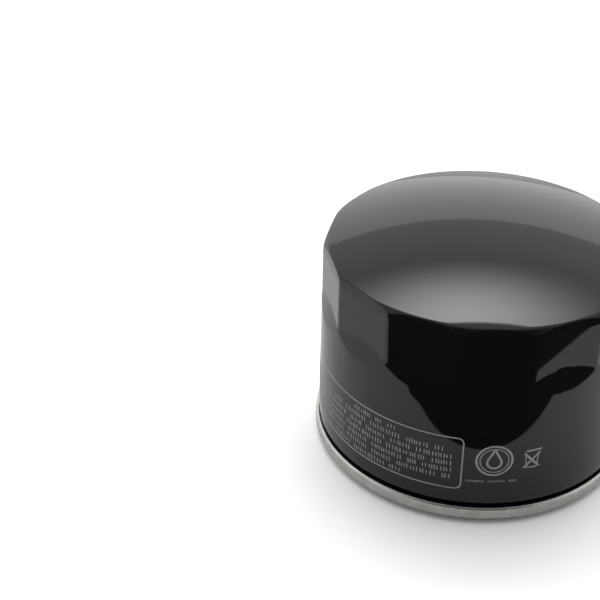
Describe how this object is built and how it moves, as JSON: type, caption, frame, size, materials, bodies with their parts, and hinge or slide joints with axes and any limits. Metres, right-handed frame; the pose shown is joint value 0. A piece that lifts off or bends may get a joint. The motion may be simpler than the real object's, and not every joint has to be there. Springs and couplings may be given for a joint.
{
  "type": "oil filter",
  "caption": "Spin-on engine oil filter: domed black steel can with wrench flats, rolled seam rim, gasket, threaded base, paper cartridge, anti-drain and bypass valves.",
  "frame": {"origin": "on the filter's axis, level with the gasket's sealing face, on which the filter stands", "axes": "+Z along the axis towards the dome; one wrench flat faces -Y"},
  "size_m": [0.0776, 0.0776, 0.0588],
  "materials": {
    "black_paint": "gloss",
    "tinplate": "satin",
    "gasket_rubber": "matte",
    "plate_steel": "satin",
    "compound": "matte",
    "valve_rubber": "satin",
    "filter_paper": "matte",
    "adhesive": "satin",
    "spring_steel": "satin"
  },
  "bodies": {
    "housing": {"can": "black_paint", "gasket_retainer": "tinplate", "outer_gasket": "gasket_rubber", "tapping_plate": "plate_steel", "seam_compound": "compound", "antidrain_hub": "valve_rubber", "antidrain_diaphragm": "valve_rubber", "element_spring": "spring_steel"},
    "cartridge": {"lower_end_cap": "tinplate", "upper_end_cap": "tinplate", "centre_tube": "tinplate", "pleated_paper": "filter_paper", "paper_seam_clip": "tinplate", "lower_adhesive": "adhesive", "upper_adhesive": "adhesive", "bypass_cage": "tinplate", "bypass_spring": "spring_steel"},
    "bypass_valve": {"bypass_poppet": "tinplate", "bypass_stem": "spring_steel", "bypass_seal": "gasket_rubber"},
    "antidrain_valve": {"antidrain_lip": "valve_rubber"}
  },
  "joints": [
    {"name": "cartridge_float", "type": "slide", "parent": "housing", "child": "cartridge", "axis": [0, 0, 1], "range_m": [0, 0.0015], "stiffness_N_per_m": 8000, "springref_m": -0.006, "deforming": ["element_spring"]},
    {"name": "bypass_open", "type": "slide", "parent": "cartridge", "child": "bypass_valve", "axis": [0, 0, -1], "range_m": [0, 0.003], "stiffness_N_per_m": 3000, "springref_m": -0.005, "deforming": ["bypass_spring"]},
    {"name": "antidrain_open", "type": "slide", "parent": "housing", "child": "antidrain_valve", "axis": [0, 0, 1], "range_m": [0, 0.002], "stiffness_N_per_m": 400, "springref_m": -0.0005, "deforming": ["antidrain_diaphragm"]}
  ]
}
